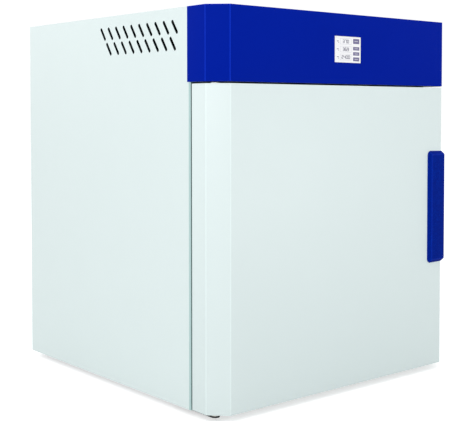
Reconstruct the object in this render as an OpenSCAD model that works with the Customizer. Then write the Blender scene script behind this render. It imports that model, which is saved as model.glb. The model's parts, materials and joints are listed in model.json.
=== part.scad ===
// Bench-top laboratory incubator: folded sheet-steel cabinet, side-hinged insulated door,
// touch-screen fascia, stainless chamber with an inner glass door, wire shelves and a stirring fan.
// Millimetres. +Z up, the door faces -Y, origin on the floor under the middle of the cabinet.

/* [Cabinet] */
// Width of the casing
cab_w = 620; // [616:2:640]
// Depth from the front of the door to the back of the rear panel
cab_d = 640; // [640:5:700]
// Height of the casing without its feet
cab_h = 700; // [700:5:760]
// Thickness of the outer sheet steel
sheet = 1.2; // [1:0.1:1.2]
// Leg of the bevel down both front corners
corner = 30; // [26:1:32]
// Height of the rubber feet
foot_h = 12; // [12:1:25]
// Radius of each foot at its top
foot_r = 18; // [14:1:24]
// Height of the rear bumpers behind the rear panel
bumper_t = 8; // [6:1:12]

/* [Control fascia] */
// Height of the fascia
fascia_h = 130; // [124:2:136]
// How far the fascia's side returns stand proud of the side panels
fascia_proud = 1.2; // [1.2:0.1:2]
// Width of the display window
screen_w = 70; // [60:1:90]
// Height of the display window
screen_h = 49; // [40:1:60]
// Distance of the window's middle to the right of the cabinet's middle
screen_x = 4; // [-60:1:60]
// Height of the window's middle above the bottom of the fascia
screen_up = 64; // [50:1:75]

/* [Vents] */
// Length of one slot from end to end
vent_len = 28.5; // [20:0.5:30]
// Width of one slot
vent_w = 5.6; // [2:0.1:6]
// Lean of the slots from upright, tops towards the rear
vent_lean = 34.6; // [0:1:45]
// Distance from one slot to the next
vent_pitch = 25.7; // [18:0.1:30]
// Slots in the upper row; the lower row has one fewer
vent_count = 10; // [4:1:12]
// Distance of the side vents' middle ahead of the cabinet's middle
vent_ahead = 87; // [60:1:100]
// Distance from the top of the casing to the middle of the upper row
vent_drop = 33; // [30:1:60]

/* [Door] */
// Thickness of the door
door_t = 68; // [66:1:70]
// Gap between the door's back and the face frame
seal_gap = 5; // [5:0.5:7]
// Distance of the hinge axis from the cabinet's left side
hinge_in = 17; // [16:1:18]
// Distance of the hinge axis behind the door's front
hinge_back = 26; // [25:1:27]
// Radius of the hinge pins
pin_r = 4; // [3:0.5:4.5]
// Running clearance between a pin and its bush
fit = 0.05; // [0.02:0.01:0.1]

/* [Handle] */
// Height of the handle moulding
handle_h = 228; // [180:2:260]
// Height of the handle's middle above the floor
handle_z = 337; // [300:1:380]
// How far the grip stands proud of the door's front
grip_t = 7; // [6:0.5:8]
// How far the grip stands proud of the door's right side
grip_side_t = 4; // [3:0.5:6]
// Distance from the grip's inner edge to the door's right side
grip_w = 73; // [60:1:90]
// Radius of the grip's two corners on the door's front
grip_r = 10; // [4:1:14]

/* [Chamber] */
// Inside width
ch_w = 450; // [420:5:450]
// Inside height
ch_h = 450; // [420:5:450]
// Usable depth from the face frame to the duct cover
ch_d = 412; // [400:2:412]
// Depth of the duct behind the duct cover
duct_d = 40; // [38:1:44]
// Inside radius of the chamber's long corners
ch_r = 20; // [10:1:30]

/* [Inner glass door] */
// Thickness of the pane
pane_t = 5; // [4:0.5:5]
// How far the pane overlaps the chamber's mouth on each side
pane_lap = 14; // [12:1:15]

/* [Shelves] */
// Heights of the two shelf runners above the floor
shelf_levels = [190, 340];
// Number of fine wires across each shelf
shelf_wires = 23; // [9:2:31]

/* [Fan] */
// Number of blades
blades = 18; // [8:1:24]
// Outside radius of the impeller
fan_r = 58; // [50:1:60]

/* [Hidden] */
$fn = 48;

half_w = cab_w / 2;
y_front = -cab_d / 2;
y_rear = cab_d / 2;
z_base = foot_h;
z_top = foot_h + cab_h;
z_fascia = z_top - fascia_h;
inner_w = half_w - sheet;              // inner face of the side panels
y_panel = y_rear - sheet;              // inner face of the rear panel
screen_z = z_fascia + screen_up;
tray_z = z_fascia + sheet;             // top of the electronics tray
rear_vents = [[-60, z_top - 68], [-60, 250]];
screw_heights = [for (i = [0 : 5]) z_base + 40 + i * (cab_h - 80) / 5];

// Door and face frame
y_door_back = y_front + door_t;
y_frame = y_door_back + seal_gap;
y_side = y_frame + 4;                  // front edge of the side panels
door_z0 = z_base + 1.5;
door_z1 = z_fascia - 3;
frame_z0 = z_base + sheet;
frame_z1 = z_fascia;
frame_return = 22;
hinge_x = -half_w + hinge_in;
hinge_y = y_front + hinge_back;
door_plan = plan(half_w, y_front, y_door_back, 0);
foot_places = [for (x = [-1, 1], y = [-1, 1]) [x * 238, y == -1 ? y_frame + 45 : y_rear - 68]];
bush_r = pin_r + 2;
bush_len = 19;
dish_w = 268;                          // half width of the dished inner panel
dish_d = 14;
dish_z0 = 38;
dish_z1 = 544;
gasket_x = half_w - 14;                // outer edges of the gasket
gasket_z = [dish_z0 - 22, dish_z1 + 24];

// Chamber
liner = 1.2;
ch_z0 = z_base + 54;
ch_z = ch_z0 + ch_h / 2;               // height of the chamber's middle and of the fan's axis
y_duct = y_frame + ch_d;               // front of the duct cover
y_liner = y_duct + duct_d;             // inside of the liner's back
y_bulk = y_liner + liner + 55;
foam_x = inner_w - sheet - 0.2;
foam_z0 = frame_z0 + sheet + 0.2;
foam_z1 = frame_z1 - sheet - 0.2;

// Inner glass door
pane_half = ch_w / 2 + pane_lap;
pane_y0 = y_frame - 2 - pane_t;
glass_hinge = [-pane_half - 6, y_frame - 6];
knuckle_r = 4.5;
glass_pin_r = 2.5;

// Shelves
rod_r = 3;
wire_r = 1.25;
shelf_half = 206;
shelf_y0 = y_frame + 32;
shelf_y1 = y_duct - 25;
upright_y = [y_frame + 77, y_duct - 55];

// Handle
handle_z0 = handle_z - handle_h / 2;
handle_z1 = handle_z + handle_h / 2;
pocket_h = handle_h - 48;
pocket_x = half_w - 30;
pocket_y0 = y_front + corner + 6;
pocket_y1 = y_door_back - 10;
cup_wall = 3;
handle_screw_z = [handle_z - 60, handle_z, handle_z + 60];

// Rear fittings
inlet_x = 205;
switch_x = 140;
fittings_z = z_fascia + 58;
inlet_pin_places = [[-7, 3], [0, -1], [7, 3]];
rocker_tilt = 8;
rocker_y = y_rear - 1;

// Fan, heater and motor
y_fan = y_duct + 7;
fan_w = 24;
shaft_r = 3;
motor_r = 30;
heater_r = 84;
leg_angle = 15;
probe_at = [120, ch_z + 130];

module block(lo, hi) translate(lo) cube(hi - lo);
module rect(x0, x1, y0, y1) translate([x0, y0]) square([x1 - x0, y1 - y0]);

// A flat sheet: plan outline, t thick upwards from z0
module slab(z0, t) translate([0, 0, z0]) linear_extrude(t) children();
// A sheet facing front: outline in X and Z, t thick backwards from y0
module facing(y0, t) translate([0, y0 + t, 0]) rotate([90, 0, 0]) linear_extrude(t) children();
// A sheet facing sideways: outline in Y and Z, t thick towards +X from x0
module sideways(x0, t) translate([x0, 0, 0]) rotate([90, 0, 90]) linear_extrude(t) children();
// A round bar or hole along Y
module bar_y(x, z, r, y0, y1) translate([x, y1, z]) rotate([90, 0, 0]) cylinder(r = r, h = y1 - y0);
// A round bar or hole along X
module bar_x(y, z, r, x0, x1) translate([x0, y, z]) rotate([0, 90, 0]) cylinder(r = r, h = x1 - x0);
module post(x, y, r, z0, z1) translate([x, y, z0]) cylinder(r = r, h = z1 - z0);

module rounded(w, h, r) {
    square([w - 2 * r, h], center = true);
    square([w, h - 2 * r], center = true);
    for (x = [-1, 1], y = [-1, 1]) translate([x * (w / 2 - r), y * (h / 2 - r)]) circle(r);
}
module stadium(len, w) {
    square([w, len - w], center = true);
    for (s = [-1, 1]) translate([0, s * (len - w) / 2]) circle(w / 2);
}

// Plan outline of the cabinet's bevelled front, inset by i from half width, front and bevel
function plan(half, front, back, i) = let (k = i * (sqrt(2) - 1)) [
    [-half + i, back], [-half + i, front + corner + k], [-half + corner + k, front + i],
    [half - corner - k, front + i], [half - i, front + corner + k], [half - i, back]
];

// ---- casing -------------------------------------------------------------------------------

// Two leaning rows of slots; the lower row carries on the lean of the upper one
module vent_rows(count) {
    row_step = 29;
    slip = row_step * tan(vent_lean);
    for (row = [0, 1], i = [row : count - 1])
        translate([(i - (count - 1) / 2) * vent_pitch - row * slip, -row * row_step])
            rotate(-vent_lean) stadium(vent_len, vent_w);
}

module side_panel() {
    rear_flange = 20;
    difference() {
        union() {
            sideways(inner_w, sheet) rect(y_side, y_rear, z_base, z_top);
            block([inner_w - rear_flange, y_panel - sheet, z_base], [inner_w, y_panel, z_top - 2 * sheet]);
            block([inner_w - rear_flange, y_side + 40, z_top - 2 * sheet], [inner_w, y_panel, z_top - sheet]);
        }
        translate([0, -vent_ahead, z_top - vent_drop]) sideways(inner_w - 1, sheet + 2) vent_rows(vent_count);
        for (z = screw_heights) bar_y(inner_w - rear_flange / 2, z, 2, y_panel - 3, y_rear + 1);
    }
}
module left_side_panel() color("#dfeceb") mirror([1, 0, 0]) side_panel();
module right_side_panel() color("#dfeceb") side_panel();

module top_panel() color("#dfeceb") {
    slab(z_top - sheet, sheet) rect(-inner_w, inner_w, y_side + 3.5, y_panel);
    block([-286, y_panel - sheet, z_top - 24], [286, y_panel, z_top - sheet]);
}

module rear_panel() color("#d5e2e1") difference() {
    facing(y_panel, sheet) difference() {
        rect(-inner_w, inner_w, frame_z0, z_top - sheet);
        for (p = rear_vents) translate(p) vent_rows(vent_count);
        translate([inlet_x, fittings_z]) square([28.4, 20.4], center = true);
        translate([switch_x, fittings_z]) square([26.4, 20.4], center = true);
    }
    for (s = [-1, 1], z = screw_heights) bar_y(s * (inner_w - 10), z, 2, y_panel - 1, y_rear + 1);
}

module base_pan() color("#c9d3d2") difference() {
    union() {
        slab(z_base, sheet) rect(-inner_w, inner_w, y_frame, y_panel - sheet);
        for (s = [0, 1]) mirror([s, 0, 0])
            block([inner_w - sheet, y_frame + frame_return, z_base], [inner_w, y_panel - sheet, z_base + 20]);
    }
    for (p = foot_places) post(p.x, p.y, 4, z_base - 1, z_base + sheet + 1);
}

module bulkhead() color("#c9d3d2") difference() {
    facing(y_bulk, sheet) rect(-foam_x, foam_x, frame_z0, frame_z1);
    rear_holes(y_bulk - 1, y_bulk + sheet + 1, 6);
}

// Passages from the chamber to the rear compartment: fan shaft, heater legs and probe
module rear_holes(y0, y1, clear) {
    bar_y(0, ch_z, shaft_r + clear, y0, y1);
    for (s = [-1, 1]) bar_y(s * heater_r * sin(leg_angle), ch_z - heater_r * cos(leg_angle), 5.4, y0, y1);
    bar_y(probe_at.x, probe_at.y, 2.8, y0, y1);
}

module face_frame() color("#e4eeee") {
    facing(y_frame, sheet) difference() {
        rect(-inner_w, inner_w, frame_z0, frame_z1);
        translate([0, ch_z]) rounded(ch_w + 2 * liner + 0.4, ch_h + 2 * liner + 0.4, ch_r + liner + 0.2);
    }
    difference() {
        block([-inner_w, y_frame + sheet, frame_z0], [inner_w, y_frame + frame_return, frame_z1]);
        block([-inner_w + sheet, y_frame, frame_z0 + sheet], [inner_w - sheet, y_frame + frame_return + 1, frame_z1 - sheet]);
    }
}

module fascia() color("#00219b") {
    half = half_w + fascia_proud;
    difference() {
        union() {
            slab(z_fascia, fascia_h) polygon(plan(half, y_front, y_side, 0));
            for (s = [0, 1]) mirror([s, 0, 0])
                block([half_w, y_side - 1, z_fascia], [half, y_side + 3, z_top]);
        }
        slab(z_fascia - 1, fascia_h + 1 - sheet) polygon(plan(half, y_front, y_side + 1, sheet));
        facing(y_front - 1, sheet + 2) translate([screen_x, screen_z]) square([screen_w, screen_h], center = true);
    }
    slab(z_top - sheet, sheet) rect(-inner_w, inner_w, y_side, y_side + 2.5);
}

module electronics_tray() color("#b9c4c6") difference() {
    slab(z_fascia, sheet) {
        polygon(plan(half_w + fascia_proud, y_front, y_side, sheet));
        rect(-inner_w, inner_w, y_side - 1, y_panel - sheet);
    }
    post(hinge_x, hinge_y, pin_r + 0.6, z_fascia - 1, z_fascia + 3);
    post(-150, y_bulk + 30, 12, z_fascia - 1, z_fascia + 3);
}

module insulation_side() block([ch_w / 2 + liner + 0.4, y_frame + sheet + 0.2, foam_z0], [foam_x, y_bulk - 0.2, foam_z1]);
module insulation_left() color("#e7dfae") mirror([1, 0, 0]) insulation_side();
module insulation_right() color("#e7dfae") insulation_side();
module insulation_flat(z0, z1) {
    x = ch_w / 2 + liner + 0.2;
    block([-x, y_frame + sheet + 0.2, z0], [x, y_bulk - 0.2, z1]);
}
module insulation_top() color("#e7dfae") insulation_flat(ch_z0 + ch_h + liner + 0.4, foam_z1);
module insulation_bottom() color("#e7dfae") insulation_flat(foam_z0, ch_z0 - liner - 0.4);
module insulation_rear() color("#e7dfae") difference() {
    x = ch_w / 2 + liner + 0.2;
    block([-x, y_liner + liner + 0.4, ch_z0 - liner], [x, y_bulk - 0.2, ch_z0 + ch_h + liner]);
    rear_holes(y_liner, y_bulk, 7);
}

// Levelling foot: a rubber pad under a six-sided nut, with a stud up through the base pan
module foot(i) color("#2a2c2e") translate(foot_places[i]) {
    pad_h = foot_h - 5;
    cylinder(r1 = foot_r - 3, r2 = foot_r, h = 2.5);
    translate([0, 0, 2.5]) cylinder(r = foot_r, h = pad_h - 4);
    translate([0, 0, pad_h - 1.5]) cylinder(r1 = foot_r, r2 = foot_r - 4, h = 1.5);
    translate([0, 0, pad_h]) cylinder(r = 9, h = foot_h - pad_h, $fn = 6);
    translate([0, 0, foot_h]) cylinder(r = 3.9, h = 2.2);
}

module rear_bumpers() color("#2a2c2e")
    for (x = [-1, 1], z = [z_base + 70, z_top - 32])
        translate([x * 262, y_rear, z]) rotate([-90, 0, 0]) cylinder(r1 = 12, r2 = 10, h = bumper_t);

module casing_screws() color("#b8bcc0")
    for (s = [-1, 1], z = screw_heights) translate([s * (inner_w - 10), y_rear, z]) rotate([-90, 0, 0]) {
        translate([0, 0, -6]) cylinder(r = 1.95, h = 6);
        intersection() {
            translate([0, 0, -4.5]) sphere(r = 6);
            cylinder(r = 4, h = 3);
        }
    }

// ---- chamber ------------------------------------------------------------------------------

module liner_outline(gap = 0) translate([0, ch_z]) rounded(ch_w - 2 * gap, ch_h - 2 * gap, ch_r - gap);

// Seamless tube of the chamber, and the back that is welded into its end
module chamber_liner() color("#c8ccce") facing(y_frame, ch_d + duct_d) difference() {
    liner_outline(-liner);
    liner_outline();
}
module chamber_back() color("#c8ccce") difference() {
    facing(y_liner, liner) liner_outline(-liner);
    rear_holes(y_liner - 1, y_liner + 2, 4);
}

// Baffle in front of the fan, with a folded rim: a rosette of intake slots and two ladders of outlet slots
module duct_cover() color("#cfd3d5") {
    difference() {
        facing(y_duct, liner) difference() {
            liner_outline(0.5);
            translate([0, ch_z]) {
                for (a = [0 : 15 : 345]) rotate(a) translate([0, 41]) stadium(30, 4);
                for (s = [-1, 1], i = [-6 : 6]) translate([s * 175, i * 30]) rotate(90) stadium(46, 6);
                for (x = [-1, 1], y = [-1, 1]) translate([x * 205, y * 205]) circle(2.2);
            }
        }
        bar_y(probe_at.x, probe_at.y, 2.8, y_duct - 1, y_duct + 2);
    }
    facing(y_duct + liner, 10) difference() {
        liner_outline(0.5);
        liner_outline(0.5 + liner);
    }
}

module heater_ring() color("#6d6f72") {
    x = heater_r * sin(leg_angle);
    z = ch_z - heater_r * cos(leg_angle);
    translate([0, y_fan + 12, ch_z]) rotate([90, 0, 0]) rotate(-90 + leg_angle)
        rotate_extrude(angle = 360 - 2 * leg_angle) translate([heater_r, 0]) circle(3.5);
    for (s = [-1, 1]) bar_y(s * x, z, 4.4, y_fan + 7, y_bulk + 14);
}

module motor_bracket() color("#a9adb0") difference() {
    union() {
        block([-42, y_bulk + sheet, ch_z - 42], [42, y_bulk + sheet + 2, ch_z + 42]);
        for (x = [-1, 1], z = [-1, 1]) bar_y(x * 34, ch_z + z * 34, 4, y_bulk + sheet + 2, y_bulk + 9);
    }
    bar_y(0, ch_z, 12, y_bulk, y_bulk + 10);
}
module fan_motor() color("#33363a") difference() {
    union() {
        block([-40, y_bulk + 9, ch_z - 40], [40, y_bulk + 11, ch_z + 40]);
        bar_y(0, ch_z, motor_r, y_bulk + 11, y_bulk + 40);
        bar_y(0, ch_z, 10, y_bulk + 40, y_bulk + 45);
    }
    bar_y(0, ch_z, shaft_r + fit, y_bulk, y_bulk + 32);
}

module temperature_probe() color("#b9bdc1") {
    bar_y(probe_at.x, probe_at.y, 2.5, y_duct - 45, y_bulk + 20);
    bar_y(probe_at.x, probe_at.y, 6, y_bulk + sheet, y_bulk + sheet + 6);
}

// Slotted channel that carries the shelf runners, web towards the chamber
module upright(y) {
    x0 = ch_w / 2 - 5;
    slots = 12;
    z0 = ch_z0 + ch_r + 2;
    z1 = ch_z0 + ch_h - ch_r - 2;
    difference() {
        translate([0, y, 0]) {
            block([x0, -8, z0], [x0 + liner, 8, z1]);
            for (s = [-1, 1]) translate([0, s * (8 - liner / 2), 0])
                block([x0, -liner / 2, z0], [ch_w / 2, liner / 2, z1]);
        }
        for (i = [0 : slots]) translate([x0 - 1, y, ch_z0 + 34 + i * 30]) block([0, -5, -5], [3, 5, 5]);
    }
}
module uprights() for (y = upright_y) upright(y);
module uprights_left() color("#c2c6c9") mirror([1, 0, 0]) uprights();
module uprights_right() color("#c2c6c9") uprights();

module runner(z) {
    x0 = ch_w / 2 - 6.2;
    block([x0 - 18, upright_y[0] - 12, z - liner], [x0, upright_y[1] + 40, z]);
    block([x0, upright_y[0] - 12, z - liner], [x0 + liner, upright_y[1] + 40, z + 9]);
    for (y = upright_y) block([x0 + liner, y - 4.6, z - liner], [x0 + 4, y + 4.6, z + 1]);
}
module runners(z) for (s = [0, 1]) mirror([s, 0, 0]) runner(z);
module runners_lower() color("#c2c6c9") runners(shelf_levels[0]);
module runners_upper() color("#c2c6c9") runners(shelf_levels[1]);

// Welded wire shelf lying on its two runners
module shelf(level) color("#d3d7da") {
    z = level + 0.4 + rod_r;
    for (s = [-1, 1]) bar_y(s * shelf_half, z, rod_r, shelf_y0, shelf_y1);
    for (i = [0 : 3])
        bar_x(shelf_y0 + rod_r + i * (shelf_y1 - shelf_y0 - 2 * rod_r) / 3, z, rod_r - 0.3, -shelf_half, shelf_half);
    pitch = 2 * (shelf_half - 10) / (shelf_wires - 1);
    for (i = [0 : shelf_wires - 1])
        bar_y(-shelf_half + 10 + i * pitch, z + rod_r + 0.4, wire_r, shelf_y0 + 1, shelf_y1 - 1);
}
module shelf_lower() shelf(shelf_levels[0]);
module shelf_upper() shelf(shelf_levels[1]);

// ---- fan ----------------------------------------------------------------------------------

// One backward-curved blade as a thin strip whose radius grows as it sweeps round
function blade_point(t, side) = let (r = 24 + (fan_r - 25) * t, a = 52 * t * t + side * 0.7 / r * 180 / PI)
    [r * cos(a), r * sin(a)];
module blade_outline(steps = 8) polygon(concat(
    [for (i = [0 : steps]) blade_point(i / steps, 1)],
    [for (i = [steps : -1 : 0]) blade_point(i / steps, -1)]));

module fan_impeller() color("#9fa5a9") {
    translate([0, 0, ch_z]) {
        facing(y_fan, fan_w) for (i = [0 : blades - 1]) rotate(i * 360 / blades) blade_outline();
        facing(y_fan + fan_w, 1.5) circle(fan_r);
        facing(y_fan - 1.5, 1.5) difference() {
            circle(fan_r);
            circle(fan_r - 16);
        }
    }
    bar_y(0, ch_z, 13, y_fan + 4, y_fan + fan_w);
    bar_y(0, ch_z, 8, y_fan + fan_w, y_fan + fan_w + 6);
    bar_y(0, ch_z, shaft_r, y_fan, y_bulk + 30);
}

// ---- door ---------------------------------------------------------------------------------

// Outline of the moulded cup behind the right-hand bevel, and of the finger space inside it
module cup_outline() {
    intersection() {
        polygon(plan(half_w, y_front, y_door_back, sheet));
        rect(pocket_x - cup_wall, half_w, y_front + 11, pocket_y1 + cup_wall);
    }
    rect(half_w - 2 * sheet, half_w, pocket_y0 - 2, pocket_y1 + cup_wall);
}
module finger_space() {
    intersection() {
        polygon(plan(half_w, y_front, y_door_back, sheet + cup_wall));
        rect(pocket_x, half_w, y_front + 14, pocket_y1);
    }
    rect(half_w - 8, half_w + 20, pocket_y0, pocket_y1);
}

module door_skin() color("#dfeceb") difference() {
    slab(door_z0, door_z1 - door_z0) polygon(door_plan);
    slab(door_z0 + sheet, door_z1 - door_z0 - 2 * sheet) polygon(plan(half_w, y_front, y_door_back + 1, sheet));
    block([half_w - 3, pocket_y0 - 2, handle_z - pocket_h / 2 - cup_wall],
          [half_w + 1, pocket_y1 + cup_wall, handle_z + pocket_h / 2 + cup_wall]);
    for (z = [door_z0 - 1, door_z1 - sheet - 1]) post(hinge_x, hinge_y, bush_r, z, z + sheet + 2);
}

// Inner panel: a flat rim for the gasket round a dished middle that clears the glass door, with a stiffening bead
module door_inner_panel() color("#e4eeee") {
    bead_in = 40;
    bead_w = 12;
    bead_h = 2;
    z = (dish_z0 + dish_z1) / 2;
    h = dish_z1 - dish_z0;
    facing(y_door_back - sheet, sheet) difference() {
        rect(-inner_w, inner_w, door_z0 + sheet, door_z1 - sheet);
        translate([0, z]) rounded(2 * dish_w, h, 16);
    }
    facing(y_door_back - dish_d, dish_d - sheet) translate([0, z]) difference() {
        rounded(2 * dish_w + 2 * sheet, h + 2 * sheet, 16 + sheet);
        rounded(2 * dish_w, h, 16);
    }
    facing(y_door_back - dish_d - sheet, sheet) translate([0, z]) rounded(2 * dish_w + 2 * sheet, h + 2 * sheet, 16 + sheet);
    facing(y_door_back - dish_d, bead_h) translate([0, z]) difference() {
        rounded(2 * (dish_w - bead_in), h - 2 * bead_in, 24);
        rounded(2 * (dish_w - bead_in - bead_w), h - 2 * (bead_in + bead_w), 12);
    }
}

module door_insulation() color("#e7dfae") difference() {
    slab(door_z0 + sheet + 0.2, door_z1 - door_z0 - 2 * sheet - 0.4)
        polygon(plan(half_w, y_front, y_door_back - sheet - 0.2, sheet + 0.2));
    block([-dish_w - 2, y_door_back - dish_d - sheet - 0.2, dish_z0 - 2], [dish_w + 2, y_door_back, dish_z1 + 2]);
    block([pocket_x - 8, y_front, handle_z - pocket_h / 2 - 4], [half_w, pocket_y1 + 4, handle_z + pocket_h / 2 + 4]);
    for (z = [door_z0, door_z1 - bush_len - 2]) post(hinge_x, hinge_y, bush_r + 0.2, z, z + bush_len + 2);
}

// Magnetic gasket: a foot on the inner panel, a folded bellows and the hollow bulb that seals
module gasket_ring(inset, y, t) facing(y_door_back + y, t) difference() {
    rect(-gasket_x + inset, gasket_x - inset, gasket_z[0] + inset, gasket_z[1] - inset);
    rect(-dish_w - 4 - inset, dish_w + 4 + inset, dish_z0 - 4 - inset, dish_z1 + 6 + inset);
}
module door_gasket() color("#4a5252") {
    gasket_ring(0, 0, 1);
    gasket_ring(3, 1, 0.8);
    gasket_ring(0.8, 1.8, seal_gap - 2.2);
}

// Prism that bevels the ends of the grip on a face whose outward direction is at angle a
module end_bevel(a, face, t) rotate([0, 0, a]) rotate([90, 0, 0]) translate([0, 0, -500]) linear_extrude(1000)
    polygon([[-500, handle_z0], [face, handle_z0], [face + t, handle_z0 + t],
             [face + t, handle_z1 - t], [face, handle_z1], [-500, handle_z1]]);

module grip() {
    x0 = half_w - grip_w;
    k = grip_t * (sqrt(2) - 1);
    bevel_face = (half_w - y_front - corner) / sqrt(2);
    intersection() {
        slab(handle_z0, handle_h) difference() {
            polygon([[x0, y_front], [x0 + grip_t, y_front - grip_t],
                     [half_w - corner + k, y_front - grip_t],
                     [half_w + grip_side_t, y_front + corner - grip_t * sqrt(2) + grip_side_t],
                     [half_w + grip_side_t, y_door_back - 2 - grip_side_t], [half_w, y_door_back - 2],
                     [x0, y_door_back - 2]]);
            polygon(plan(half_w, y_front, y_door_back + 1, 0));
        }
        end_bevel(-90, -y_front, grip_t);
        end_bevel(-45, bevel_face, grip_t);
        end_bevel(0, half_w, grip_side_t);
        facing(y_front - 20, door_t + 40) union() {
            translate([x0 + 2 * grip_r, handle_z]) rounded(4 * grip_r, handle_h, grip_r);
            rect(x0 + 2 * grip_r, half_w + 20, handle_z0, handle_z1);
        }
    }
}

module handle() color("#00298f") difference() {
    union() {
        grip();
        slab(handle_z - pocket_h / 2 - cup_wall, pocket_h + 2 * cup_wall) cup_outline();
    }
    slab(handle_z - pocket_h / 2, pocket_h) finger_space();
    for (z = handle_screw_z) bar_x(pocket_y1 - 14, z, 2.1, pocket_x - 5, pocket_x + 1);
}
module handle_plate() color("#a9adb0") difference() {
    x1 = pocket_x - cup_wall;
    block([x1 - 3, pocket_y1 - 30, handle_z - 80], [x1, pocket_y1 - 2, handle_z + 80]);
    for (z = handle_screw_z) bar_x(pocket_y1 - 14, z, 2.1, x1 - 5, x1 + 1);
}
module handle_screws() color("#b8bcc0") for (z = handle_screw_z) {
    bar_x(pocket_y1 - 14, z, 2, pocket_x - 7.5, pocket_x + 0.5);
    bar_x(pocket_y1 - 14, z, 4, pocket_x, pocket_x + 2.2);
}

// ---- door hinges --------------------------------------------------------------------------

module hinge_plan(back) {
    translate([hinge_x, hinge_y]) circle(8);
    rect(hinge_x - 8, hinge_x + 8, hinge_y, back);
    rect(hinge_x - 8, hinge_x + 30, back - 60, back);
}
module hinge_plate_upper() color("#a9adb0") {
    z = z_fascia + sheet;
    slab(z, 3) hinge_plan(y_frame + 50);
    post(hinge_x, hinge_y, pin_r, door_z1 - bush_len + 2, z + 3);
    post(hinge_x, hinge_y, pin_r + 2, z + 3, z + 6);
}
module hinge_plate_lower() color("#a9adb0") {
    slab(z_base - 3, 3) hinge_plan(y_frame + 70);
    post(hinge_x, hinge_y, pin_r, z_base - 3, door_z0 + bush_len - 2);
}
module bush() difference() {
    union() {
        cylinder(r = bush_r, h = bush_len);
        translate([0, 0, -1.2]) cylinder(r = bush_r + 2, h = 1.2);
    }
    translate([0, 0, -2]) cylinder(r = pin_r + fit, h = bush_len + 4);
}
module hinge_bush_lower() color("#e8e6df") translate([hinge_x, hinge_y, door_z0]) bush();
module hinge_bush_upper() color("#e8e6df") translate([hinge_x, hinge_y, door_z1]) mirror([0, 0, 1]) bush();

// ---- inner glass door ---------------------------------------------------------------------

module glass_pane() color("#cfe3e6", 0.4) difference() {
    facing(pane_y0, pane_t) translate([0, ch_z]) rounded(2 * pane_half, ch_h + 2 * pane_lap, 6);
    bar_y(pane_half - 34, ch_z, 3, pane_y0 - 1, pane_y0 + pane_t + 1);
}
// One corner of the hinge: a plate bonded to the pane and the knuckle that turns on the pin
module glass_strap() difference() {
    z0 = ch_z0 - pane_lap;
    union() {
        block([glass_hinge.x, pane_y0 - 2, z0 + 2], [-pane_half + 34, pane_y0, z0 + 22]);
        block([glass_hinge.x, pane_y0 - 2, z0 + 2], [-pane_half - 0.2, pane_y0 + 3, z0 + 22]);
        post(glass_hinge.x, glass_hinge.y, knuckle_r, z0 - 1, z0 + 22);
    }
    post(glass_hinge.x, glass_hinge.y, glass_pin_r + fit, z0 - 2, z0 + 15);
}
module glass_bracket() {
    z1 = ch_z0 - pane_lap - 1.6;
    slab(z1 - 3, 3) {
        translate(glass_hinge) circle(5);
        rect(glass_hinge.x - 5, glass_hinge.x + 5, glass_hinge.y, y_frame);
    }
    block([glass_hinge.x - 12, y_frame - 2, z1 - 11], [glass_hinge.x + 12, y_frame, z1]);
    post(glass_hinge.x, glass_hinge.y, glass_pin_r, z1 - 3, z1 + 14);
}
module both_ends() {
    children();
    translate([0, 0, 2 * ch_z]) mirror([0, 0, 1]) children();
}
module glass_straps() color("#b9bdc1") both_ends() glass_strap();
module glass_brackets() color("#b9bdc1") both_ends() glass_bracket();

module glass_knob() color("#2f3234") translate([pane_half - 34, 0, ch_z]) rotate([90, 0, 0]) translate([0, 0, -pane_y0]) {
    translate([0, 0, -pane_t - 1.5]) cylinder(r = 6, h = 1.5);
    translate([0, 0, -pane_t]) cylinder(r = 2.95, h = pane_t);
    cylinder(r = 6, h = 4);
    translate([0, 0, 4]) cylinder(r1 = 8, r2 = 9, h = 4);
    translate([0, 0, 8]) cylinder(r1 = 9, r2 = 8, h = 1.6);
}

module glass_seal() color("#e9e6de") facing(y_frame - 1.7, 1.7) translate([0, ch_z]) difference() {
    rounded(ch_w + 20, ch_h + 20, ch_r + 6);
    rounded(ch_w + 5, ch_h + 5, ch_r + 2);
}

// ---- controls -----------------------------------------------------------------------------

module display_glass() color("#e6e8ee") facing(y_front + 0.4, 2) translate([screen_x, screen_z])
    square([screen_w - 0.6, screen_h - 0.6], center = true);
module display_module() color("#2e6b45") translate([screen_x, y_front + 2.4, screen_z]) {
    facing(0, 5) square([screen_w + 8, screen_h + 8], center = true);
    facing(5, 1.6) square([screen_w + 34, screen_h + 24], center = true);
    for (x = [-1, 1], z = [-1, 1]) bar_y(x * (screen_w / 2 + 12), z * (screen_h / 2 + 8), 3, sheet - 2.4, 5);
    block([-24, 6.6, -30], [24, 14, -20]);
    block([-16, 6.6, 2], [6, 9, 20]);
}

module control_board() color("#2e6b45") translate([-190, -150, tray_z]) {
    for (x = [6, 134], y = [6, 94]) translate([x, y, 0]) cylinder(r = 3, h = 8);
    block([0, 0, 8], [140, 100, 9.6]);
    for (i = [0 : 3]) block([12 + i * 22, 70, 9.6], [30 + i * 22, 88, 26]);
    for (i = [0 : 2]) translate([20 + i * 18, 22, 9.6]) cylinder(r = 6, h = 20);
    block([80, 12, 9.6], [110, 42, 12]);
    block([118, 20, 9.6], [132, 80, 20]);
}
module power_supply() color("#b4b9bc") translate([60, -150, tray_z]) difference() {
    block([0, 0, 0], [160, 98, 38]);
    for (i = [0 : 11]) translate([20 + i * 11, 30, 36]) block([0, 0, 0], [5, 50, 3]);
    block([-1, -1, 22], [150, 12, 39]);
}
module solid_state_relay() color("#8e9498") translate([-240, 60, tray_z]) {
    block([0, 0, 0], [80, 70, 6]);
    for (i = [0 : 9]) block([i * 8.5, 0, 6], [i * 8.5 + 2, 70, 34]);
    block([12, 6, 34], [70, 64, 36]);
    block([18, 12, 36], [64, 58, 58]);
}
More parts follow.
